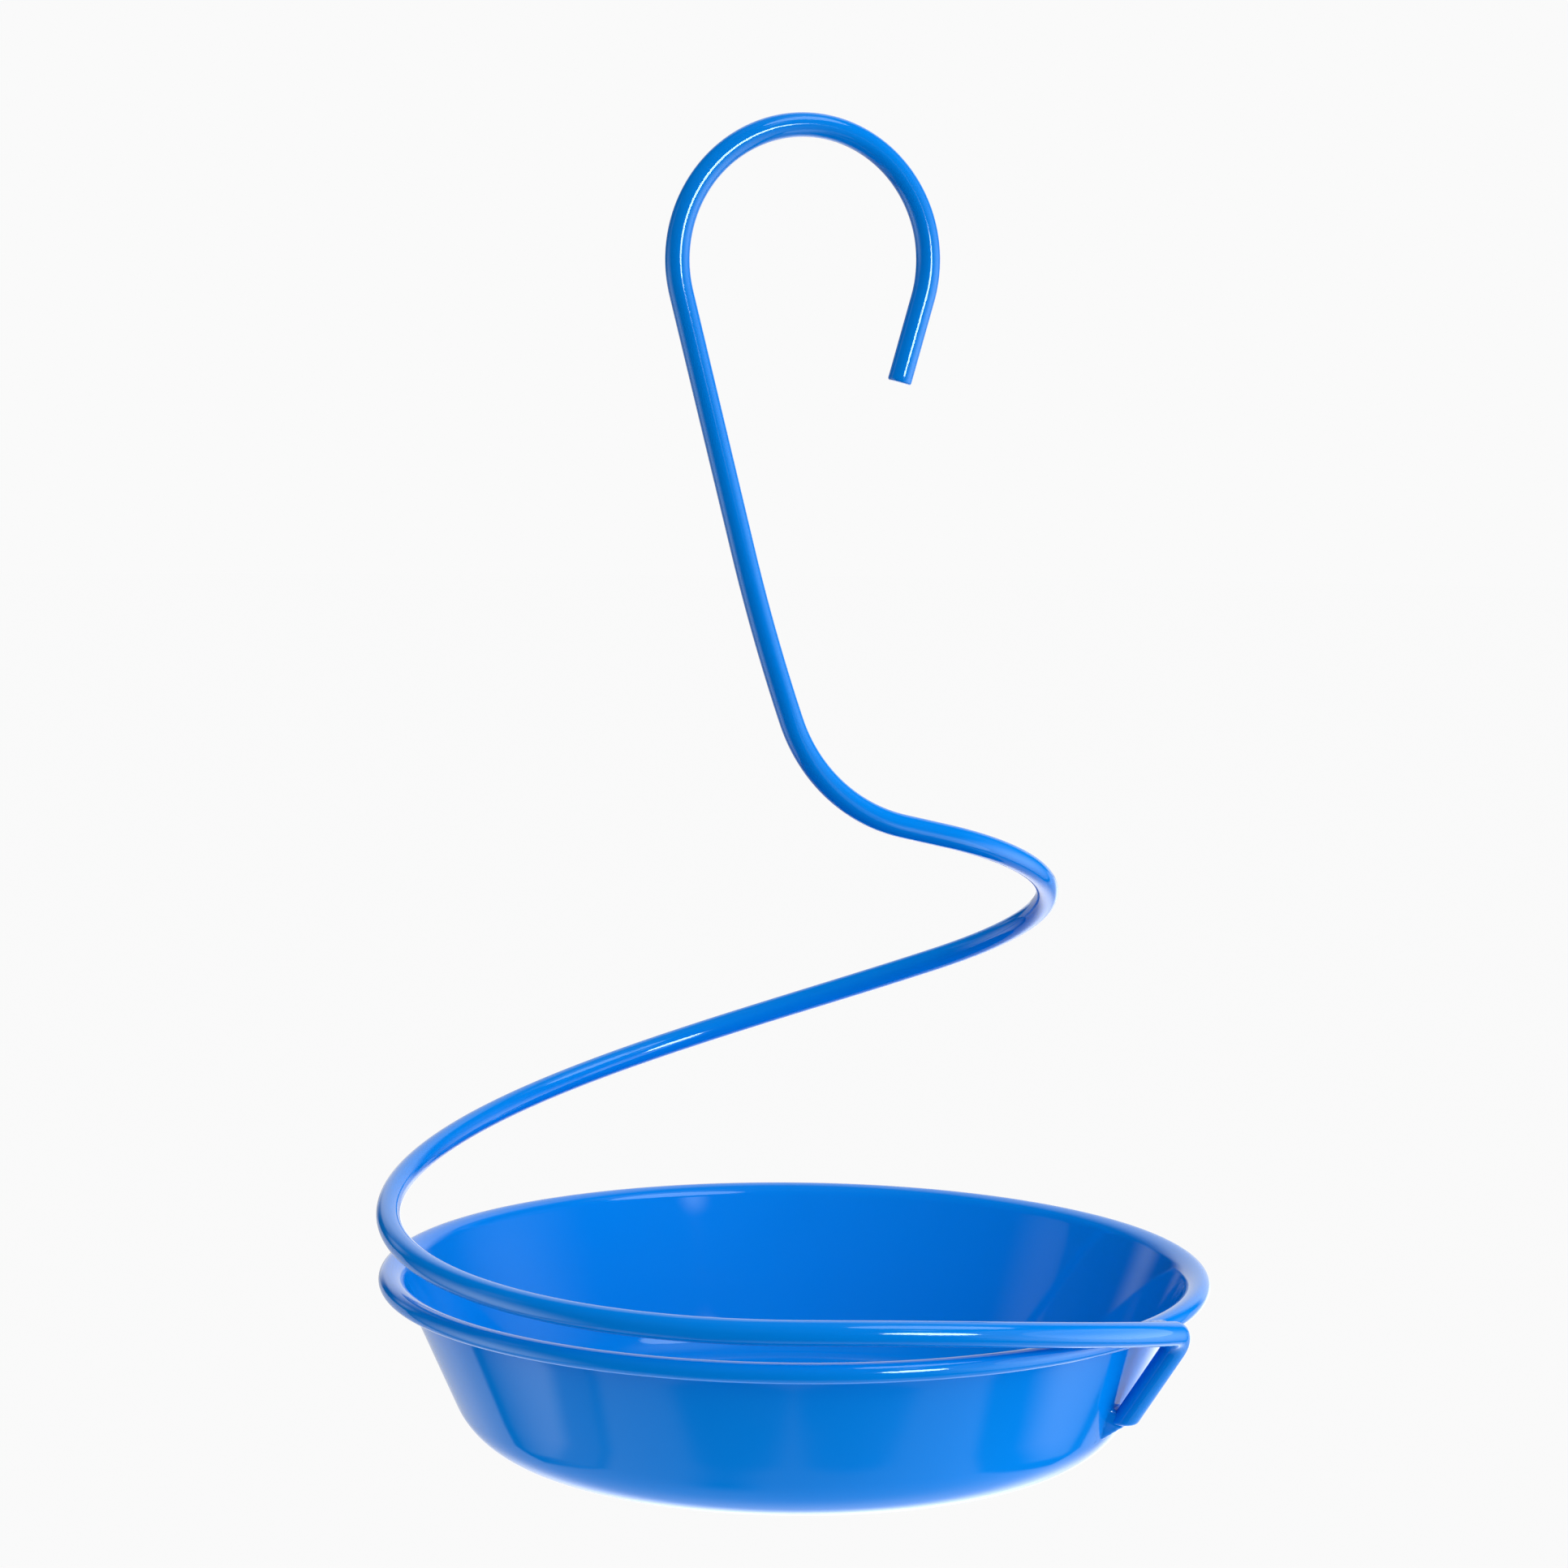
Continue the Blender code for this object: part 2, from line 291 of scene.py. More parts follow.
@dataclass
class Bowl:
    """The pressed dish: flat base, rounded corner, tapered wall and a rim flared and curled over."""

    rim_diameter: float = 0.165
    height: float = 0.0355
    taper: float = 24.0
    base_corner: float = 0.015
    flare: float = 0.0037
    curl_diameter: float = 0.0039
    curl_sweep: float = 250.0
    sheet: float = 0.0008
    cut_edge: float = 0.00025
    merge: float = 0.00001
    steps: int = 224

    @property
    def curl_radius(self) -> float:
        """Radius of the curl's outside."""
        return self.curl_diameter / 2.0

    @property
    def curl_centre_radius(self) -> float:
        """Distance from the bowl's axis to the middle of the curl."""
        return self.rim_diameter / 2.0 - self.curl_radius

    @property
    def curl_centre_height(self) -> float:
        """Height of the middle of the curl."""
        return self.height - self.curl_radius

    def wall_radius(self, height: float) -> float:
        """Work out the radius of the wall's inner face.

        Args:
            height: Height above the underside of the base.

        Returns:
            The radius at that height.
        """
        lean = math.radians(self.taper)
        top_radius = self.curl_centre_radius - self.flare * math.cos(lean)
        top_height = self.height - self.flare * (1.0 - math.sin(lean))
        return top_radius - (top_height - height) * math.tan(lean)

    def inner_profile(self) -> list[tuple[float, float]]:
        """Walk along the inner face from the axis, up the wall and round the curl.

        Returns:
            Radius and height of each point.
        """
        lean = math.radians(self.taper)
        corner_axis = self.wall_radius(self.sheet + self.base_corner) - self.base_corner / math.cos(lean)
        walk = PlaneWalk(0.0, self.sheet, 0.0)
        walk.forward(corner_axis, count=5)
        walk.bend(self.base_corner, 90.0 - self.taper, count=16)
        flare_start = self.height - self.flare * (1.0 - math.sin(lean))
        walk.forward((flare_start - walk.points[-1][1]) / math.cos(lean), count=6)
        walk.bend(self.flare, self.taper - 90.0, count=9)
        walk.bend(self.curl_radius, -self.curl_sweep, count=26)
        return walk.points

    def build(self) -> bpy.types.Object:
        """Lathe the inner face, give it the sheet's thickness and round the sheet's cut edge.

        Returns:
            The bowl.
        """
        profile = self.inner_profile()
        deselect_all()
        bpy.ops.mesh.primitive_plane_add(size=self.sheet)
        bowl = bpy.context.active_object
        name_piece(bowl, "pressed_bowl")
        edit_whole_mesh()
        bpy.ops.mesh.merge(type="CENTER")
        bpy.ops.transform.translate(value=(profile[0][0], 0.0, profile[0][1]))
        for start, end in zip(profile[:-1], profile[1:]):
            move = (end[0] - start[0], 0.0, end[1] - start[1])
            bpy.ops.mesh.extrude_region_move(TRANSFORM_OT_translate={"value": move})
        bpy.ops.mesh.select_all(action="SELECT")
        bpy.ops.mesh.spin(steps=self.steps, angle=math.tau, center=(0.0, 0.0, 0.0), axis=(0.0, 0.0, 1.0))
        bpy.ops.mesh.select_all(action="SELECT")
        bpy.ops.mesh.remove_doubles(threshold=self.merge)
        bpy.ops.mesh.normals_make_consistent(inside=False)
        bpy.ops.object.mode_set(mode="OBJECT")
        # The shell is open, so its faces may come out pointing either way. They point into the bowl.
        base = min(bowl.data.polygons, key=lambda face: face.center.length)
        if base.normal.z < 0.0:
            edit_whole_mesh()
            bpy.ops.mesh.flip_normals()
            bpy.ops.object.mode_set(mode="OBJECT")
        wall = bowl.modifiers.new("sheet", "SOLIDIFY")
        wall.thickness = self.sheet
        wall.offset = -1.0
        wall.use_even_offset = True
        edge = bowl.modifiers.new("coated_edge", "BEVEL")
        edge.width = self.cut_edge
        edge.segments = 3
        edge.limit_method = "ANGLE"
        edge.angle_limit = math.radians(60.0)
        apply_modifiers(bowl)
        bpy.ops.object.shade_smooth_by_angle(angle=SMOOTH_ANGLE)
        return bowl

    def dress(self, bowl: bpy.types.Object) -> None:
        """Give the bowl its coat."""
        SHEET_COAT.cover(bowl)


@dataclass
class HangerRod:
    """The hanger, bent from one rod: hook, shank, arm, one falling turn, perch, corner and foot."""

    bowl: Bowl
    diameter: float = 0.00476
    overall_height: float = 0.2625
    hook_radius: float = 0.026
    hook_turn: float = 20.7
    tail_length: float = 0.0171
    tail_angle: float = 16.2
    shank_lean: float = 14.7
    shank_length: float = 0.0516
    sweep_radius: float = 0.4
    sweep_angle: float = 5.0
    lower_bend_radius: float = 0.0341
    arm_fall: float = 13.7
    arm_length: float = 0.0094
    turn_fall: float = 0.0344
    coil_ease: float = 2.4
    perch_angle: float = 270.0
    perch_gap: float = 0.00315
    step_out_angle: float = 280.0
    seat_angle: float = 326.4
    corner_radius: float = 0.0055
    foot_depth: float = 0.0205
    foot_lead: float = 2.1
    seat_gap: float = 0.0003
    tail_edge: float = 0.00045
    foot_cut: float = 0.0125
    foot_edge: float = 0.0009
    merge: float = 0.000005
    turn_steps: int = 64
    coil_steps: int = 150
    seat_steps: int = 44
    corner_steps: int = 22
    edge_steps: int = 5

    @property
    def radius(self) -> float:
        """Radius of the rod."""
        return self.diameter / 2.0

    @property
    def perch_height(self) -> float:
        """Height of the rod's axis where it passes over the front of the rim."""
        return self.bowl.height + self.perch_gap + self.radius

    def hook_walk(self) -> PlaneWalk:
        """Walk along the rod's axis in the hook's plane.

        Returns:
            The walk from the cut tail to the end of the arm.
        """
        hook_height = self.overall_height - self.radius - self.hook_radius
        start = polar(self.hook_radius, -self.tail_angle)
        heading = 90.0 - self.tail_angle
        tail = polar(self.tail_length, heading)
        walk = PlaneWalk(start[0] - tail[0], hook_height + start[1] - tail[1], heading)
        walk.forward(self.tail_length, count=10)
        walk.bend(self.hook_radius, 180.0 + self.tail_angle + self.shank_lean, count=96)
        walk.forward(self.shank_length, count=24)
        walk.bend(self.sweep_radius, self.sweep_angle, count=16)
        walk.bend(self.lower_bend_radius, 360.0 - self.arm_fall - walk.heading, count=30)
        walk.forward(self.arm_length, count=6)
        return walk

    def coil_points(self, arm_end: float, arm_height: float) -> list[Vector]:
        """Follow the turn from the arm onto the coil, then the coil down to the perch.

        Args:
            arm_end: Distance of the arm's end from the bowl's axis.
            arm_height: Height of the arm's end.

        Returns:
            Points of the rod's axis.
        """
        ring = self.bowl.curl_centre_radius
        turn_radius = (ring ** 2 - arm_end ** 2) / (2.0 * ring)
        turn_end = self.hook_turn + math.degrees(math.asin(turn_radius / (ring - turn_radius)))
        coil_height = arm_height - self.turn_fall
        coil_sweep = self.perch_angle - turn_end
        coil_fall = coil_height - self.perch_height
        coil_slope = -self.coil_ease * coil_fall / (ring * math.radians(coil_sweep))
        arm_slope = -math.tan(math.radians(self.arm_fall))
        turn_angle = turn_end - self.hook_turn + 90.0
        turn_length = turn_radius * math.radians(turn_angle)
        centre = polar(ring - turn_radius, turn_end)
        points = []
        for index in range(1, self.turn_steps + 1):
            share = index / self.turn_steps
            spoke = polar(turn_radius, self.hook_turn - 90.0 + turn_angle * share)
            blend = smooth_step(share)
            height = arm_height * (1.0 - blend) + coil_height * blend
            height += turn_length * arm_slope * share * (1.0 - share) ** 2
            height -= turn_length * coil_slope * share ** 2 * (1.0 - share)
            points.append(Vector((centre[0] + spoke[0], centre[1] + spoke[1], height)))
        for index in range(1, self.coil_steps + 1):
            share = index / self.coil_steps
            height = self.perch_height + coil_fall * (1.0 - share) ** self.coil_ease
            points.append(Vector((*polar(ring, turn_end + coil_sweep * share), height)))
        return points

    def seat_points(self) -> list[Vector]:
        """Follow the rod from the perch, over the rim and out to its seat beside the curl.

        Returns:
            Points of the rod's axis.
        """
        fall = self.perch_height - self.bowl.curl_centre_height
        ring = self.bowl.curl_centre_radius
        step_out = self.bowl.rim_diameter / 2.0 + self.seat_gap + self.radius - ring
        sweep = self.seat_angle - self.perch_angle
        points = []
        for index in range(1, self.seat_steps + 1):
            share = index / self.seat_steps
            angle = self.perch_angle + sweep * share
            out = smooth_step((angle - self.step_out_angle) / (self.seat_angle - self.step_out_angle))
            height = self.perch_height - fall * share ** 2
            points.append(Vector((*polar(ring + step_out * out, angle), height)))
        return points

    def foot_end(self, corner: Vector) -> Vector:
        """Find where the rod's axis ends beside the wall.

        Args:
            corner: Where the runs above and below the corner of the rod would meet.

        Returns:
            The end of the axis.
        """
        plan_angle = math.degrees(math.atan2(corner.y, corner.x)) + self.foot_lead
        height = self.bowl.curl_centre_height - self.foot_depth
        offset = (self.bowl.sheet + self.seat_gap + self.radius) / math.cos(math.radians(self.bowl.taper))
        return Vector((*polar(self.bowl.wall_radius(height) + offset, plan_angle), height))

    def corner_points(self, before: Vector, corner: Vector, after: Vector) -> list[Vector]:
        """Round a corner between two straight runs.

        Args:
            before: A point on the first run.
            corner: Where the two runs would meet.
            after: A point on the second run.

        Returns:
            Points of the arc.
        """
        to_before = (before - corner).normalized()
        to_after = (after - corner).normalized()
        half = to_before.angle(to_after) / 2.0
        centre = corner + (to_before + to_after).normalized() * (self.corner_radius / math.sin(half))
        setback = self.corner_radius / math.tan(half)
        first = corner + to_before * setback - centre
        last = corner + to_after * setback - centre
        points = []
        for index in range(self.corner_steps + 1):
            spoke = first.slerp(last, index / self.corner_steps).normalized()
            points.append(centre + spoke * self.corner_radius)
        return points

    def path(self) -> list[Vector]:
        """Follow the rod's axis from the hook's cut tail to the foot on the wall.

        Returns:
            Points of the axis.
        """
        walk = self.hook_walk()
        points = [Vector((*polar(across, self.hook_turn), up)) for across, up in walk.points]
        points += self.coil_points(*walk.points[-1])
        points += self.seat_points()
        run_on = (points[-1] - points[-2]).normalized()
        corner = points[-1] + run_on * self.corner_radius
        foot = self.foot_end(corner)
        points += self.corner_points(points[-1], corner, foot)
        points.append(foot)
        return points

    def round_tail(self, path: list[Vector]) -> tuple[list[Vector], list[float]]:
        """Add the points that round the cut tail of the hook.

        Args:
            path: Points of the rod's axis, from the tail on.

        Returns:
            The points with the new ones, and the rod's width at each, as a share of its own.
        """
        inward = (path[1] - path[0]).normalized()
        points = []
        widths = []
        for index in range(self.edge_steps + 1):
            back, in_from_side = polar(self.tail_edge, 90.0 * index / self.edge_steps)
            points.append(path[0] + inward * (self.tail_edge - back))
            widths.append(1.0 - (self.tail_edge - in_from_side) / self.radius)
        return points + path[1:], widths + [1.0] * (len(path) - 1)

    def build(self) -> bpy.types.Object:
        """Sweep the rod along its axis, round its tail and cut its foot level.

        Returns:
            The rod.
        """
        path, widths = self.round_tail(self.path())
        path[-1] = path[-1] + (path[-1] - path[-2]).normalized() * self.diameter
        deselect_all()
        bpy.ops.curve.primitive_nurbs_path_add()
        curve = bpy.context.active_object.data
        curve.splines.clear()
        spline = curve.splines.new("POLY")
        spline.points.add(len(path) - 1)
        for point, place, width in zip(spline.points, path, widths):
            point.co = (*place, 1.0)
            point.radius = width
        spline.use_smooth = True
        curve.dimensions = "3D"
        curve.bevel_depth = self.radius
        curve.bevel_resolution = 18
        curve.use_fill_caps = True
        bpy.ops.object.convert(target="MESH")
        rod = bpy.context.active_object
        name_piece(rod, "bent_hanger_rod")
        edit_whole_mesh()
        bpy.ops.mesh.remove_doubles(threshold=self.merge)
        bpy.ops.mesh.normals_make_consistent(inside=False)
        bpy.ops.mesh.select_all(action="SELECT")
        bpy.ops.mesh.bisect(
            plane_co=(0.0, 0.0, self.foot_cut), plane_no=(0.0, 0.0, -1.0), use_fill=True, clear_outer=True
        )
        bpy.ops.mesh.bevel(offset=self.foot_edge, segments=self.edge_steps, affect="EDGES")
        bpy.ops.object.mode_set(mode="OBJECT")
        bpy.ops.object.shade_smooth_by_angle(angle=SMOOTH_ANGLE)
        return rod

    def dress(self, rod: bpy.types.Object) -> None:
        """Give the rod its coat."""
        ROD_COAT.cover(rod)


@dataclass
class RimWeld:
    """The weld in the groove between rod and rim: a short row of drops fused into one bead."""

    bowl: Bowl
    rod: HangerRod
    drops: int = 9
    spacing: float = 0.0011
    drop_size: tuple[float, float, float] = (0.00130, 0.00230, 0.0011)
    shrink_per_drop: float = 0.07
    stagger: float = 0.00012
    lead: float = 2.5
    lift: float = 0.0014
    voxel: float = 0.00016

    def build(self) -> bpy.types.Object:
        """Lay the drops along the groove, fuse them into one skin and let it flow smooth.

        Returns:
            The bead.
        """
        angle = self.rod.seat_angle - self.lead
        outward = Vector((*polar(1.0, angle), 0.0))
        along = UP.cross(outward)
        middle = outward * (self.bowl.rim_diameter / 2.0) + UP * (self.bowl.curl_centre_height + self.lift)
        deselect_all()
        made = []
        for index in range(self.drops):
            step = index - (self.drops - 1) / 2.0
            swell = 1.0 - self.shrink_per_drop * abs(step)
            place = middle + along * (step * self.spacing) + outward * (self.stagger * (-1) ** index)
            bpy.ops.mesh.primitive_uv_sphere_add(
                segments=24,
                ring_count=16,
                radius=1.0,
                location=place,
                rotation=(0.0, 0.0, math.radians(angle + 90.0)),
                scale=(self.drop_size[0], self.drop_size[1] * swell, self.drop_size[2] * swell),
            )
            made.append(bpy.context.active_object)
        deselect_all()
        for item in made:
            item.select_set(True)
        bpy.context.view_layer.objects.active = made[0]
        bpy.ops.object.join()
        bead = bpy.context.active_object
        name_piece(bead, "rim_weld_bead")
        bpy.ops.object.transform_apply(location=True, rotation=True, scale=True)
        fuse = bead.modifiers.new("fuse", "REMESH")
        fuse.mode = "VOXEL"
        fuse.voxel_size = self.voxel
        flow = bead.modifiers.new("flow", "SMOOTH")
        flow.factor = 0.5
        flow.iterations = 8
        apply_modifiers(bead)
        bpy.ops.object.shade_smooth()
        return bead

    def dress(self, bead: bpy.types.Object) -> None:
        """Give the bead its coat."""
        WELD_COAT.cover(bead)


@dataclass
class FootWeld:
    """The weld below the cut foot of the rod: a tongue that thins out down the wall."""

    bowl: Bowl
    rod: HangerRod
    top: float = 0.0016
    tip: float = -0.0056
    tip_width: tuple[float, float] = (-0.0005, 0.0012)
    top_width: tuple[float, float] = (-0.0023, 0.0026)
    top_round: float = 0.001
    crest: float = 0.0028
    crest_end: float = -0.0009
    flank_share: float = 0.5
    root: float = 0.00025
    ripple: float = 0.0013
    ripple_share: float = 0.012
    margin: float = 0.0004
    cells: tuple[int, int] = (60, 40)

    def height(self, along: float, across: float) -> float:
        """Work out how far the weld stands off the wall, or lies in it where it is negative.

        Args:
            along: Distance up the wall from the point beside the end of the rod's axis.
            across: Distance to the right of that point.

        Returns:
            The distance from the wall's outer face.
        """
        fall = min(max((along - self.tip) / (self.crest_end - self.tip), 0.0), 1.0)
        ridge = self.crest * fall * (1.0 + self.ripple_share * math.sin(math.tau * along / self.ripple))
        ridge *= smooth_step((self.top - along) / self.top_round)
        left, right = (tip + (top - tip) * fall for tip, top in zip(self.tip_width, self.top_width))
        half = (right - left) / 2.0
        flank = smooth_step((half - abs(across - left - half)) / (self.flank_share * half))
        return ridge * flank - self.root * (1.0 - min(flank, smooth_step(ridge / self.root)))

    def build(self) -> bpy.types.Object:
        """Raise the tongue from a grid laid on the wall, and close its underside in the sheet.

        Returns:
            The bead.
        """
        foot = self.rod.path()[-1]
        outward = Vector((foot.x, foot.y, 0.0)).normalized()
        lean = math.radians(self.bowl.taper)
        off_wall = outward * math.cos(lean) - UP * math.sin(lean)
        side = UP.cross(outward)
        along = off_wall.cross(side)
        seat = foot - off_wall * (self.rod.radius + self.rod.seat_gap)
        curve = math.hypot(seat.x, seat.y) / math.cos(lean)
        deselect_all()
        columns, rows = self.cells
        bpy.ops.mesh.primitive_grid_add(x_subdivisions=columns, y_subdivisions=rows, size=2.0)
        bead = bpy.context.active_object
        name_piece(bead, "foot_weld_bead")
        low, high = self.tip - self.margin, self.top + self.margin
        left, right = self.top_width[0] - self.margin, self.top_width[1] + self.margin
        for vertex in bead.data.vertices:
            climb = low + (high - low) * (vertex.co.x + 1.0) / 2.0
            across = left + (right - left) * (vertex.co.y + 1.0) / 2.0
            off = self.height(climb, across) - across ** 2 / (2.0 * curve)
            vertex.co = seat + along * climb + side * across + off_wall * off
        root = bead.modifiers.new("root", "SOLIDIFY")
        root.thickness = self.root
        root.offset = -1.0
        apply_modifiers(bead)
        edit_whole_mesh()
        bpy.ops.mesh.normals_make_consistent(inside=False)
        bpy.ops.object.mode_set(mode="OBJECT")
        bpy.ops.object.shade_smooth_by_angle(angle=math.radians(60.0))
        return bead

    def dress(self, bead: bpy.types.Object) -> None:
        """Give the bead its coat."""
        FILLET_COAT.cover(bead)


class Role(Enum):
    """What a lamp does for the object: light its matte colour, or glint in its gloss."""

    MATTE = "matte"
    GLINT = "glint"


class Ray(Enum):
    """Kinds of light ray that the studio answers in its own way."""

    CAMERA = "Is Camera Ray"
    GLOSSY = "Is Glossy Ray"
    TRANSMISSION = "Is Transmission Ray"


class Rule(Enum):
    """What a row of the surround's pattern is: a soft step, a soft card, or a sum of a Math node."""

    STEP = "SMOOTHSTEP"
    CARD = "CARD"
    PLUS = "ADD"
    MINUS = "SUBTRACT"
    TIMES = "MULTIPLY"
    TIMES_PLUS = "MULTIPLY_ADD"
    OVER = "DIVIDE"
    LARGER = "MAXIMUM"
    SMALLER = "MINIMUM"
    SIZE = "ABSOLUTE"
    ANGLE = "ARCTAN2"
    RISE = "ARCSINE"


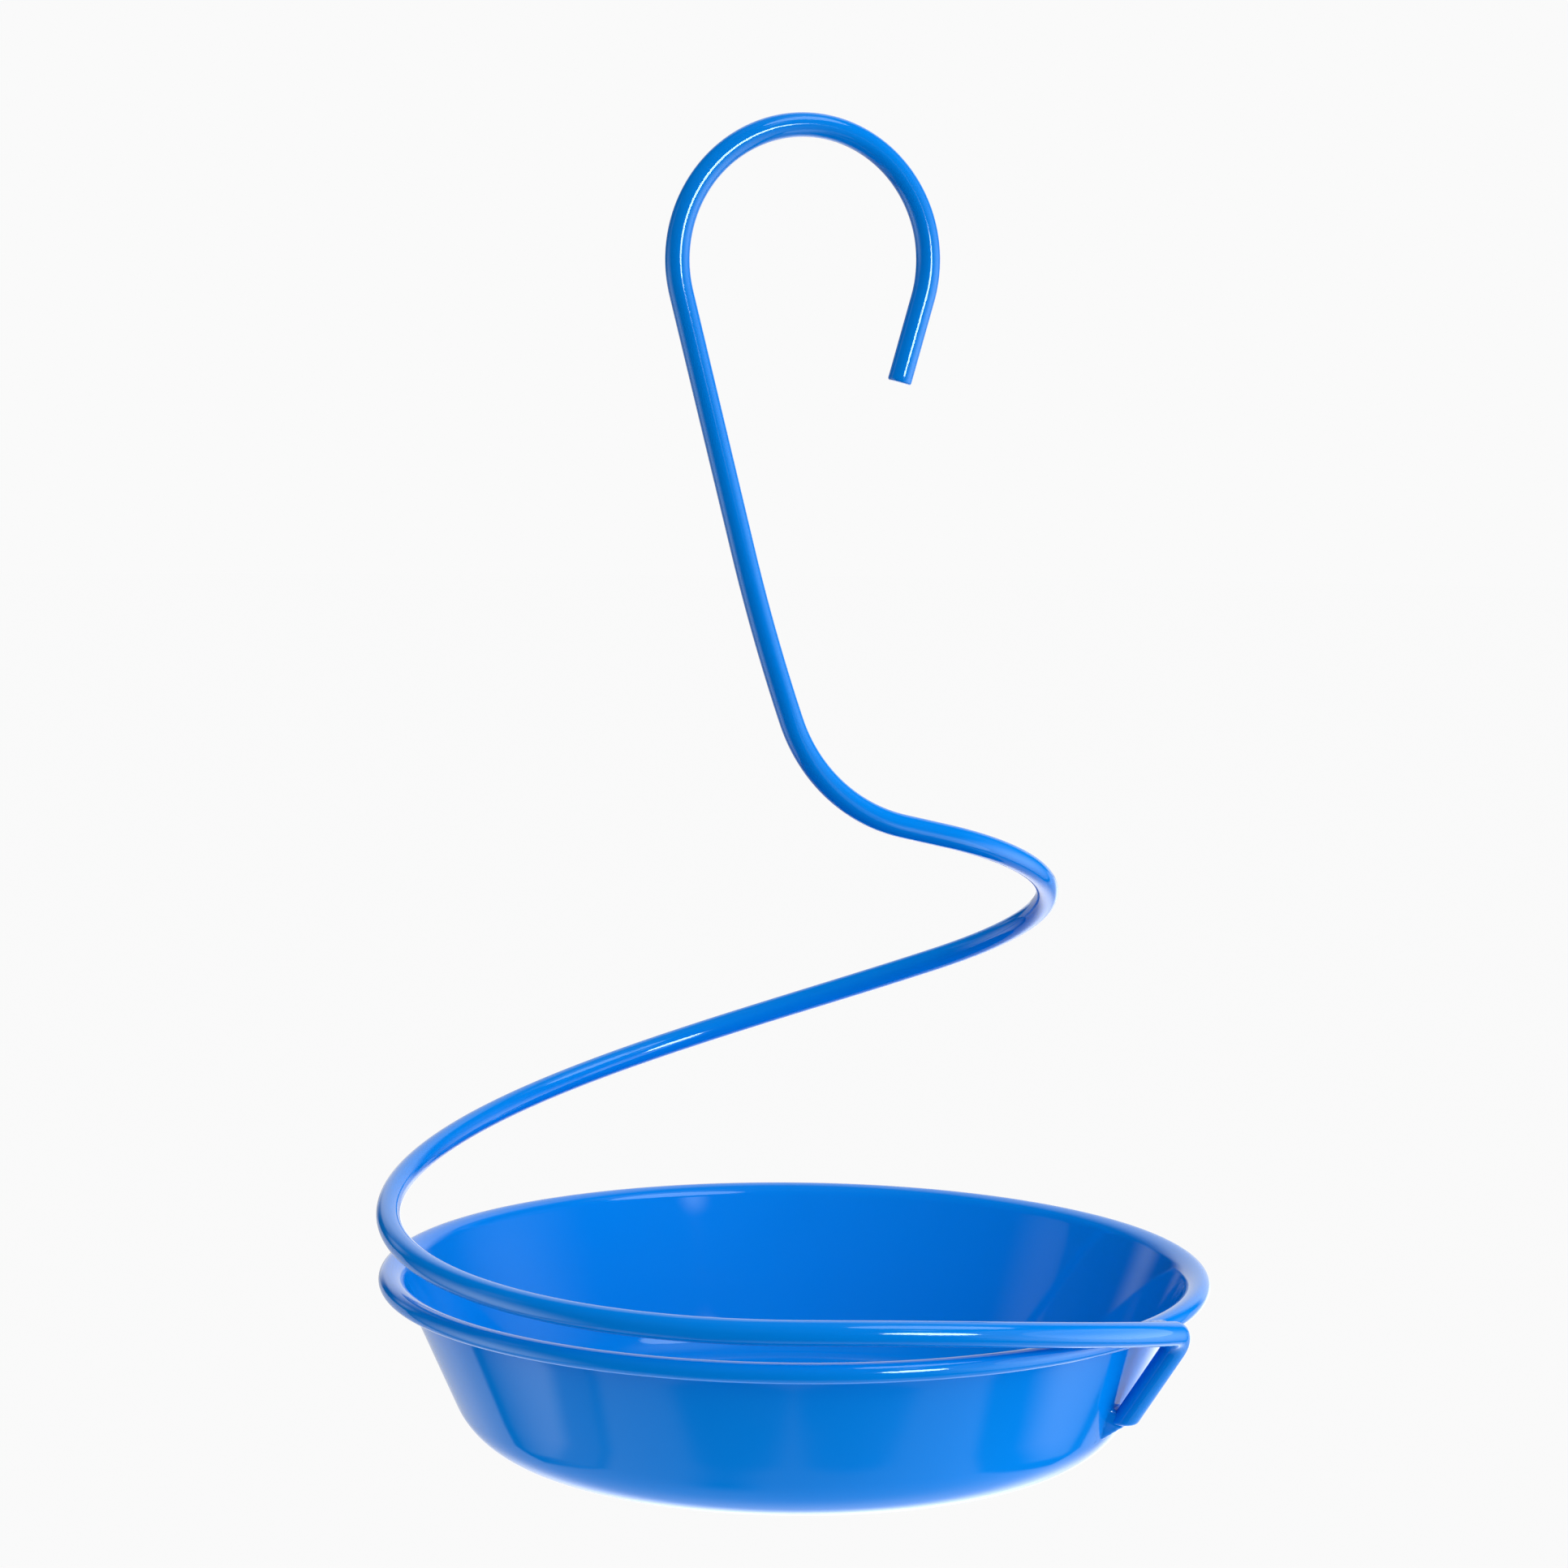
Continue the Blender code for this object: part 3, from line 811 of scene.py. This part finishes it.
@dataclass
class Studio:
    """White floor, soft lamps, a white surround and the camera."""

    floor_height: float = -0.60
    floor_radius: float = 12.0
    floor_colour: str = "#F2F2F2"
    floor_glow: float = 1.01
    floor_glow_share: float = 0.95
    white: str = "#FAFAFA"
    fill: float = 0.03
    fill_from_top: float = 0.18
    fill_from_front_top: float = 2.7
    fill_from_right_top: float = 0.4
    fill_from_right: float = 0.96
    fill_from_back: float = 0.35
    camera_place: tuple[float, float, float] = (0.0, -0.8512, 0.22764)
    camera_pitch: float = 6.426
    camera_yaw: float = -0.199
    camera_roll: float = 0.531
    camera_lens: float = 100.0

    def camera(self) -> bpy.types.Object:
        """Make the camera at the photograph's view and set it for the scene.

        Returns:
            The camera object.
        """
        pitch = math.radians(self.camera_pitch)
        yaw = math.radians(self.camera_yaw)
        roll = math.radians(self.camera_roll)
        ahead = Vector((math.sin(yaw) * math.cos(pitch), math.cos(yaw) * math.cos(pitch), -math.sin(pitch)))
        right = Vector((math.cos(yaw), -math.sin(yaw), 0.0))
        above = right.cross(ahead)
        across = right * math.cos(roll) + above * math.sin(roll)
        upward = above * math.cos(roll) - right * math.sin(roll)
        data = bpy.data.cameras.new("camera")
        data.lens = self.camera_lens
        data.sensor_width = 36.0
        data.clip_start = 0.01
        data.clip_end = 100.0
        data.dof.use_dof = False
        camera = bpy.data.objects.new("camera", data)
        bpy.context.scene.collection.objects.link(camera)
        turn = Matrix((across, upward, -ahead)).transposed().to_4x4()
        camera.matrix_world = Matrix.Translation(self.camera_place) @ turn
        bpy.context.scene.camera = camera
        return camera

    def floor(self) -> bpy.types.Object:
        """Make the pale floor, which glows for the camera so that it runs into the surround.

        Returns:
            The floor object.
        """
        deselect_all()
        bpy.ops.mesh.primitive_circle_add(
            vertices=96, radius=self.floor_radius, fill_type="NGON", location=(0.0, 0.0, self.floor_height)
        )
        floor = bpy.context.active_object
        floor.name = "studio_floor"
        material = bpy.data.materials.new("white_matte_floor")
        material.use_nodes = True
        tree = material.node_tree
        tree.nodes.clear()
        rays = add_node(tree, "ShaderNodeLightPath").outputs
        inputs = {0: rays[Ray.CAMERA.value], 1: self.floor_glow_share}
        share = add_node(tree, "ShaderNodeMath", {"operation": Rule.TIMES.value}, inputs)
        matte = add_node(tree, "ShaderNodeBsdfDiffuse", inputs={"Color": linear_colour(self.floor_colour)})
        inputs = {"Color": linear_colour(self.white), "Strength": self.floor_glow}
        glow = add_node(tree, "ShaderNodeEmission", inputs=inputs)
        inputs = {0: share.outputs[0], 1: matte.outputs[0], 2: glow.outputs[0]}
        mix = add_node(tree, "ShaderNodeMixShader", inputs=inputs)
        add_node(tree, "ShaderNodeOutputMaterial", inputs={"Surface": mix.outputs[0]})
        floor.data.materials.append(material)
        floor.visible_glossy = False
        floor.visible_diffuse = False
        return floor

    def pattern(self) -> list[tuple[str, Rule, tuple[Any, ...]]]:
        """Describe the surround, row by row.

        A step takes a row, its two ends and the levels there, from 0 to 1 if they aren't given. A
        card takes two rows, and then its middle and its half sizes along them. The other rules are
        sums of a Math node.

        Returns:
            Rows with a name, a rule, and the values or the names of earlier rows that it takes.
        """
        step, card = Rule.STEP, Rule.CARD
        times, plus, minus, larger = Rule.TIMES, Rule.PLUS, Rule.MINUS, Rule.LARGER
        return [
            # Turn of a direction from the camera's side, positive to the right, and its rise, in degrees.
            ("front", times, ("back", -1.0)),
            ("turn", Rule.ANGLE, ("across", "front")),
            ("turn", times, ("turn", math.degrees(1.0))),
            ("rise", Rule.RISE, ("up",)),
            ("rise", times, ("rise", math.degrees(1.0))),
            # Where a downward ray meets the table, in units of the table's depth below the object.
            ("depth", times, ("up", -1.0)),
            ("depth", larger, ("depth", 0.03)),
            ("table_x", Rule.OVER, ("across", "depth")),
            ("table_y", Rule.OVER, ("back", "depth")),
            # The far half of the table is lit from behind, brightest in a band at the back.
            ("dim", step, ("table_y", 0.0, 0.5, 0.0, 0.5)),
            ("far", step, ("table_y", 0.5, 1.05, 0.0, 1.18)),
            ("far", plus, ("far", "dim")),
            ("fade", step, ("table_y", 1.3, 2.2, 1.0, 0.4)),
            ("far", times, ("far", "fade")),
            ("fade", step, ("table_x", -0.77, 0.1)),
            ("far", times, ("far", "fade")),
            ("fade", step, ("table_x", 0.97, 0.1)),
            ("far", times, ("far", "fade")),
            # The near half is dim, with a dark patch at the left, and ends in front of the object, sooner
            # at the sides.
            ("near", Rule.SMALLER, ("table_y", 0.0)),
            ("near", Rule.TIMES_PLUS, ("near", 0.3, 0.42)),
            ("table_side", Rule.SIZE, ("table_x",)),
            ("slant", Rule.TIMES_PLUS, ("table_side", -0.29, "table_y")),
            ("fade", step, ("slant", -0.535, -0.505)),
            ("near", times, ("near", "fade")),
            ("gap", card, ("table_x", "table_y", -0.28, -0.33, 0.24, 0.32)),
            ("gap", minus, (1.0, "gap")),
            ("near", times, ("near", "gap")),
            ("far_end", step, ("table_y", 0.9, 1.6, 0.0, 0.12)),
            ("table", plus, ("far", "near")),
            ("table", plus, ("table", "far_end")),
            # Its two long edges show as dark lines, which spread apart towards the back.
            ("spread", step, ("table_x", -0.1, 0.1, 1.2, 1.0)),
            ("edge", times, ("table_y", "spread")),
            ("edge", larger, ("edge", 0.82)),
            ("beside", minus, ("table_side", "edge")),
            ("fade", step, ("beside", 0.0, -0.07)),
            ("table", times, ("table", "fade")),
            ("fade", step, ("rise", -2.0, -6.0, 0.0, 1.25)),
            ("table", times, ("table", "fade")),
            # White cards stand left and right of the table, the right one higher and brighter.
            ("left_card", card, ("turn", "rise", -93.0, -24.0, 40.0, 49.0)),
            ("left_card", times, ("left_card", 2.1)),
            ("clear", step, ("beside", -0.03, 0.02)),
            ("left_card", times, ("left_card", "clear")),
            ("clear", step, ("beside", 0.10, 0.17, 0.25, 1.0)),
            ("left_card", times, ("left_card", "clear")),
            ("right_card", card, ("turn", "rise", 88.0, -22.0, 58.0, 47.0)),
            ("right_card", times, ("right_card", 2.3)),
            ("high_card", card, ("turn", "rise", 94.0, -3.0, 50.0, 26.0)),
            ("high_card", times, ("high_card", 0.65)),
            ("cards", plus, ("right_card", "high_card")),
            ("clear", step, ("beside", 0.10, 0.24)),
            ("cards", times, ("cards", "clear")),
            ("cards", plus, ("cards", "left_card")),
            # Paler parts of the room: a wall at the right, two at the left, a small lamp in front, the
            # dim lower edge of the key light and the far end at the right.
            ("room", card, ("turn", "rise", 100.0, 20.0, 32.0, 30.0)),
            ("room", times, ("room", 0.38)),
            ("left_wall", card, ("turn", "rise", -90.0, 23.0, 17.0, 15.0)),
            ("fade", step, ("turn", -98.5, -97.0, 0.0, 0.45)),
            ("left_wall", times, ("left_wall", "fade")),
            ("room", plus, ("room", "left_wall")),
            ("far_left", card, ("turn", "rise", -134.5, 11.5, 10.0, 12.0)),
            ("room", Rule.TIMES_PLUS, ("far_left", 0.68, "room")),
            ("front_lamp", card, ("turn", "rise", 35.5, 38.5, 7.0, 5.0)),
            ("room", Rule.TIMES_PLUS, ("front_lamp", 2.4, "room")),
            ("key_edge", card, ("turn", "rise", 32.0, -1.0, 8.0, 5.5)),
            ("room", Rule.TIMES_PLUS, ("key_edge", 2.2, "room")),
            ("far_right", card, ("turn", "rise", 160.0, -14.0, 16.0, 18.0)),
            ("room", Rule.TIMES_PLUS, ("far_right", 1.4, "room")),
            # A white cove closes the back, and the ceiling is dim but for a panel at the right.
            ("bend", step, ("rise", 5.0, 18.0, 141.0, 132.0)),
            ("right_cove", step, ("turn", "bend", 151.0)),
            ("bend", step, ("rise", 8.0, 18.0, -150.0, -131.0)),
            ("left_cove", step, ("turn", "bend", -166.0)),
            ("cove", larger, ("right_cove", "left_cove")),
            ("fade", step, ("rise", -8.0, -2.0, 0.0, 1.08)),
            ("cove", times, ("cove", "fade")),
            ("fade", step, ("rise", 50.0, 66.0, 1.0, 0.12)),
            ("cove", times, ("cove", "fade")),
            ("ceiling", step, ("rise", 66.0, 76.0, 0.01, 0.10)),
            ("height", larger, ("up", 0.03)),
            ("ceiling_x", Rule.OVER, ("across", "height")),
            ("ceiling_y", Rule.OVER, ("back", "height")),
            ("panel", card, ("ceiling_x", "ceiling_y", 0.42, 0.03, 0.36, 0.30)),
            ("ceiling", Rule.TIMES_PLUS, ("panel", 0.8, "ceiling")),
            ("glow", plus, ("table", "cards")),
            ("glow", plus, ("glow", "room")),
            ("glow", larger, ("glow", "cove")),
            ("glow", larger, ("glow", "ceiling")),
            # Soft light on matte colour comes from above the camera and from the right, and a little
            # from above and from behind.
            ("from_top", larger, ("up", 0.0)),
            ("from_right", larger, ("across", 0.0)),
            ("from_front", larger, ("front", 0.0)),
            ("from_back", larger, ("back", 0.0)),
            ("top_light", times, ("from_front", self.fill_from_front_top)),
            ("top_light", Rule.TIMES_PLUS, ("from_right", self.fill_from_right_top, "top_light")),
            ("top_light", plus, ("top_light", self.fill_from_top)),
            ("soft_light", times, ("top_light", "from_top")),
            ("soft_light", Rule.TIMES_PLUS, ("from_right", self.fill_from_right, "soft_light")),
            ("soft_light", Rule.TIMES_PLUS, ("from_back", self.fill_from_back, "soft_light")),
            ("soft_light", plus, ("soft_light", self.fill)),
        ]

    def world(self) -> None:
        """Make the surround: plain for the camera, the pattern for reflections, soft for matte colour."""
        world = bpy.data.worlds.new("white_studio")
        bpy.context.scene.world = world
        world.use_nodes = True
        tree = world.node_tree
        tree.nodes.clear()
        way = add_node(tree, "ShaderNodeTexCoord").outputs["Generated"]
        parts = add_node(tree, "ShaderNodeSeparateXYZ", inputs={0: way})
        known = dict(zip(("across", "back", "up"), parts.outputs))
        for name, rule, values in self.pattern():
            taken = [known.get(value, value) if isinstance(value, str) else value for value in values]
            if rule is Rule.CARD:
                place = add_node(tree, "ShaderNodeCombineXYZ", inputs={0: taken[0], 1: taken[1]})
                shift = [-middle / half for middle, half in zip(taken[2:4], taken[4:6])]
                inputs = {
                    "Vector": place.outputs[0],
                    "Location": (*shift, 0.0),
                    "Scale": (1.0 / taken[4], 1.0 / taken[5], 1.0),
                }
                fitted = add_node(tree, "ShaderNodeMapping", inputs=inputs).outputs[0]
                blob = add_node(tree, "ShaderNodeTexGradient", {"gradient_type": "SPHERICAL"}, {0: fitted})
                taken = [blob.outputs["Fac"], 0.0, 1.0]
            if rule in (Rule.CARD, Rule.STEP):
                inputs = dict(zip(("Value", "From Min", "From Max", "To Min", "To Max"), taken))
                node = add_node(tree, "ShaderNodeMapRange", {"interpolation_type": Rule.STEP.value}, inputs)
            else:
                node = add_node(tree, "ShaderNodeMath", {"operation": rule.value}, dict(enumerate(taken)))
            known[name] = node.outputs[0]
        rays = add_node(tree, "ShaderNodeLightPath").outputs
        inputs = {0: rays[Ray.GLOSSY.value], 1: rays[Ray.TRANSMISSION.value]}
        shiny = add_node(tree, "ShaderNodeMath", {"operation": Rule.LARGER.value}, inputs).outputs[0]
        white = linear_colour("#FFFFFF")
        backgrounds = []
        for colour, strength in (
            (white, known["soft_light"]),
            (white, known["glow"]),
            (linear_colour(self.white), 1.0),
        ):
            inputs = {"Color": colour, "Strength": strength}
            backgrounds.append(add_node(tree, "ShaderNodeBackground", inputs=inputs).outputs[0])
        matte_light, mirrored, backdrop = backgrounds
        inputs = {0: shiny, 1: matte_light, 2: mirrored}
        unseen = add_node(tree, "ShaderNodeMixShader", inputs=inputs).outputs[0]
        inputs = {0: rays[Ray.CAMERA.value], 1: unseen, 2: backdrop}
        surface = add_node(tree, "ShaderNodeMixShader", inputs=inputs).outputs[0]
        add_node(tree, "ShaderNodeOutputWorld", inputs={"Surface": surface})

    def lamp(
        self,
        name: str,
        target: Vector,
        turn: float,
        rise: float,
        distance: float,
        size: tuple[float, float],
        radiance: float,
        role: Role,
    ) -> bpy.types.Object:
        """Make a soft lamp that faces a point.

        Args:
            name: Name of the lamp.
            target: The point that it faces.
            turn: Its direction from the target, in degrees to the right of the camera's side.
            rise: Its direction from the target, in degrees above the level.
            distance: How far it is from the target.
            size: Width and height of its oval face.
            radiance: Brightness of its face, where 1 is the white of the surround.
            role: What it does for the object.

        Returns:
            The lamp object.
        """
        level, height = polar(distance, rise)
        front, right = polar(level, turn)
        data = bpy.data.lights.new(name, "AREA")
        data.shape = "ELLIPSE"
        data.size, data.size_y = size
        area = math.pi * size[0] * size[1] / 4.0
        data.energy = radiance * math.pi * area
        lamp = bpy.data.objects.new(name, data)
        bpy.context.scene.collection.objects.link(lamp)
        lamp.location = target + Vector((right, -front, height))
        lamp.rotation_euler = (target - lamp.location).to_track_quat("-Z", "Y").to_euler()
        lamp.visible_camera = False
        lamp.visible_diffuse = role is Role.MATTE
        lamp.visible_glossy = role is Role.GLINT
        return lamp

    def build(self) -> None:
        """Make the whole studio."""
        bpy.context.scene.view_settings.view_transform = "Standard"
        self.camera()
        self.floor()
        self.world()
        middle = Vector((0.0, 0.0, 0.10))
        low = Vector((0.0, 0.0, 0.02))
        perch_end = Vector((0.05, -0.08, 0.055))
        before_perch = Vector((0.05, -0.125, 0.055))
        # Each lamp has its name, the point it faces, its turn, rise and distance from there, the size
        # of its face, its brightness and its role. Two near lamps stand for the right card in the end
        # of the perch: a strong one and a weak, wider one.
        self.lamp("key_softbox", middle, 32.0, 8.0, 2.6, (0.88, 0.71), 4.0, Role.MATTE)
        self.lamp("key_softbox_glint", middle, 32.0, 10.0, 2.5, (0.80, 0.75), 24.0, Role.GLINT)
        self.lamp("top_softbox", middle, 58.0, 60.0, 1.7, (1.02, 0.72), 2.5, Role.MATTE)
        self.lamp("top_softbox_glint", middle, 58.0, 60.0, 1.6, (0.95, 0.68), 3.4, Role.GLINT)
        self.lamp("right_card", low, 88.0, -12.0, 0.55, (0.5, 0.5), 2.16, Role.MATTE)
        self.lamp("right_card_glint", perch_end, 90.0, 0.0, 0.08, (0.12, 0.10), 1.5, Role.GLINT)
        self.lamp("right_card_edge_glint", before_perch, 90.0, 0.0, 0.08, (0.20, 0.15), 0.5, Role.GLINT)
        self.lamp("left_card", low, -93.0, -20.0, 0.55, (0.5, 0.4), 2.15, Role.MATTE)
        self.lamp("table_bounce", low, 0.0, -85.0, 0.24, (0.5, 0.5), 1.57, Role.MATTE)


def main() -> None:
    """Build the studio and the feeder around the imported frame."""
    logging.basicConfig(level=logging.INFO, format="%(name)s: %(message)s")
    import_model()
    Studio().build()
    bowl = Bowl()
    rod = HangerRod(bowl)
    makers = [
        (bowl, "bowl"),
        (rod, "hanger_rod"),
        (RimWeld(bowl, rod), "rim_weld"),
        (FootWeld(bowl, rod), "foot_weld"),
    ]
    for maker, node in makers:
        piece = maker.build()
        maker.dress(piece)
        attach(piece, BODY)
        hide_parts(node)
        LOG.info("%s: %d faces, stands for %s", piece.name, len(piece.data.polygons), node)


if __name__ == "__main__":
    main()
